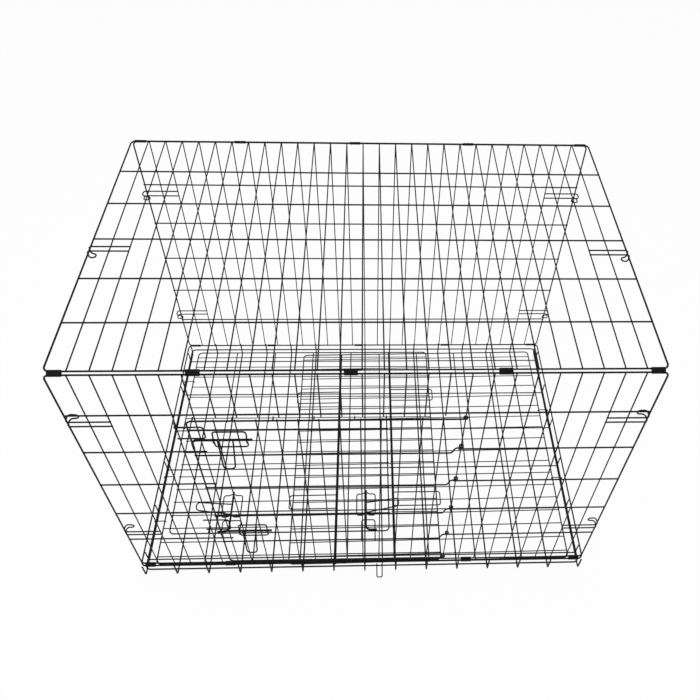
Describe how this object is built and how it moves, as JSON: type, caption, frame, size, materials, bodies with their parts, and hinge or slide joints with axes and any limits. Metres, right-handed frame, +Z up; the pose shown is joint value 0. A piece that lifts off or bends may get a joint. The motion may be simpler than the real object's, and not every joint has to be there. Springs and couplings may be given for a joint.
{
  "type": "folding wire dog crate",
  "caption": "Folding crate of black coated wire with a hinged front door, a hinged end door, slide bolts and fold-down end panels.",
  "frame": {"origin": "centre of the base tray's footprint, on the floor", "axes": "+X along the crate to the right end, +Y from the front door to the back, +Z up"},
  "size_m": [1.0816, 0.7411, 0.7608],
  "materials": {
    "coated_wire": "satin black coated steel wire",
    "coated_frame": "satin black coated heavier steel wire",
    "crimped_sleeve": "black coated crimped steel sleeve",
    "coated_rod": "satin black coated steel rod, a little worn where it slides"
  },
  "bodies": {
    "base": {"base_floor_long": "coated_wire", "base_floor_cross": "coated_wire", "base_rim": "coated_frame", "base_lower_wires": "coated_frame", "clips_front_bottom": "crimped_sleeve", "clips_back_bottom": "crimped_sleeve"},
    "front_panel": {"front_frame": "coated_frame", "front_uprights": "coated_wire", "front_rows": "coated_wire", "front_keepers": "coated_wire", "front_locks": "coated_wire"},
    "top_panel": {"top_frame": "coated_frame", "top_wires": "coated_wire", "top_rows": "coated_wire", "top_locks": "coated_wire", "clips_front_top": "crimped_sleeve", "clips_back_top": "crimped_sleeve"},
    "back_panel": {"back_frame": "coated_frame", "back_uprights": "coated_wire", "back_rows": "coated_wire", "back_locks": "coated_wire"},
    "left_end": {"left_end_frame": "coated_frame", "left_end_uprights": "coated_wire", "left_end_rows": "coated_wire", "left_end_tabs": "coated_wire", "left_end_hooks": "coated_wire", "left_end_keepers": "coated_wire"},
    "right_end": {"right_end_frame": "coated_frame", "right_end_uprights": "coated_wire", "right_end_rows": "coated_wire", "right_end_tabs": "coated_wire", "right_end_hooks": "coated_wire"},
    "front_door": {"front_door_frame": "coated_frame", "front_door_uprights": "coated_wire", "front_door_rows": "coated_wire", "front_door_brackets": "coated_wire"},
    "end_door": {"end_door_frame": "coated_frame", "end_door_uprights": "coated_wire", "end_door_rows": "coated_wire", "end_door_brackets": "coated_wire"},
    "carry_loop": {"carry_loop": "coated_wire"},
    "bolt_front_high": {"bolt_front_high": "coated_rod"},
    "handle_front_high": {"handle_front_high": "coated_wire"},
    "bolt_front_low": {"bolt_front_low": "coated_rod"},
    "handle_front_low": {"handle_front_low": "coated_wire"},
    "bolt_end_high": {"bolt_end_high": "coated_rod"},
    "handle_end_high": {"handle_end_high": "coated_wire"},
    "bolt_end_low": {"bolt_end_low": "coated_rod"},
    "handle_end_low": {"handle_end_low": "coated_wire"}
  },
  "joints": [
    {"name": "frame_fold", "type": "hinge", "parent": "base", "child": "front_panel", "pos_m": [0, -0.352, 0.046], "axis": [1, 0, 0], "range_deg": [-80, 0]},
    {"name": "top_fold", "type": "hinge", "parent": "front_panel", "child": "top_panel", "pos_m": [0, -0.352, 0.754], "axis": [1, 0, 0], "range_deg": [0, 80]},
    {"name": "back_fold", "type": "hinge", "parent": "base", "child": "back_panel", "pos_m": [0, 0.352, 0.046], "axis": [1, 0, 0], "range_deg": [-80, 0]},
    {"name": "left_end_swing", "type": "hinge", "parent": "base", "child": "left_end", "pos_m": [-0.53015, 0, 0.022], "axis": [0, -1, 0], "range_deg": [0, 90]},
    {"name": "right_end_swing", "type": "hinge", "parent": "base", "child": "right_end", "pos_m": [0.53015, 0, 0.022], "axis": [0, 1, 0], "range_deg": [0, 91]},
    {"name": "front_door_swing", "type": "hinge", "parent": "front_panel", "child": "front_door", "pos_m": [0.1905, -0.3516, 0], "axis": [0, 0, 1], "range_deg": [0, 150]},
    {"name": "end_door_swing", "type": "hinge", "parent": "left_end", "child": "end_door", "pos_m": [0, 0.09525, 0.0216], "axis": [-1, 0, 0], "range_deg": [0, 120]},
    {"name": "front_high_bolt_slide", "type": "slide", "parent": "front_door", "child": "bolt_front_high", "axis": [1, 0, 0], "range_m": [-0.004, 0.023]},
    {"name": "front_low_bolt_slide", "type": "slide", "parent": "front_door", "child": "bolt_front_low", "axis": [1, 0, 0], "range_m": [-0.004, 0.023]},
    {"name": "end_high_bolt_slide", "type": "slide", "parent": "end_door", "child": "bolt_end_high", "axis": [0, 1, 0], "range_m": [-0.004, 0.023]},
    {"name": "end_low_bolt_slide", "type": "slide", "parent": "end_door", "child": "bolt_end_low", "axis": [0, 1, 0], "range_m": [-0.004, 0.023]},
    {"name": "front_high_handle_turn", "type": "hinge", "parent": "bolt_front_high", "child": "handle_front_high", "pos_m": [0, -0.35925, 0.571], "axis": [-1, 0, 0], "range_deg": [0, 150]},
    {"name": "front_low_handle_turn", "type": "hinge", "parent": "bolt_front_low", "child": "handle_front_low", "pos_m": [0, -0.35925, 0.216], "axis": [-1, 0, 0], "range_deg": [0, 150]},
    {"name": "end_high_handle_turn", "type": "hinge", "parent": "bolt_end_high", "child": "handle_end_high", "pos_m": [0.00285, 0, 0.02925], "axis": [0, 1, 0], "range_deg": [-144, 6]},
    {"name": "end_low_handle_turn", "type": "hinge", "parent": "bolt_end_low", "child": "handle_end_low", "pos_m": [-0.34215, 0, 0.02925], "axis": [0, 1, 0], "range_deg": [0, 150]},
    {"name": "carry_loop_swing", "type": "hinge", "parent": "base", "child": "carry_loop", "pos_m": [0, -0.356, 0.022], "axis": [-1, 0, 0], "range_deg": [0, 100]}
  ],
  "couplings": [
    {"joint": "top_fold", "follows": "frame_fold", "ratio": -1},
    {"joint": "back_fold", "follows": "frame_fold", "ratio": 1},
    {"joint": "right_end_swing", "follows": "left_end_swing", "ratio": 0.4}
  ]
}
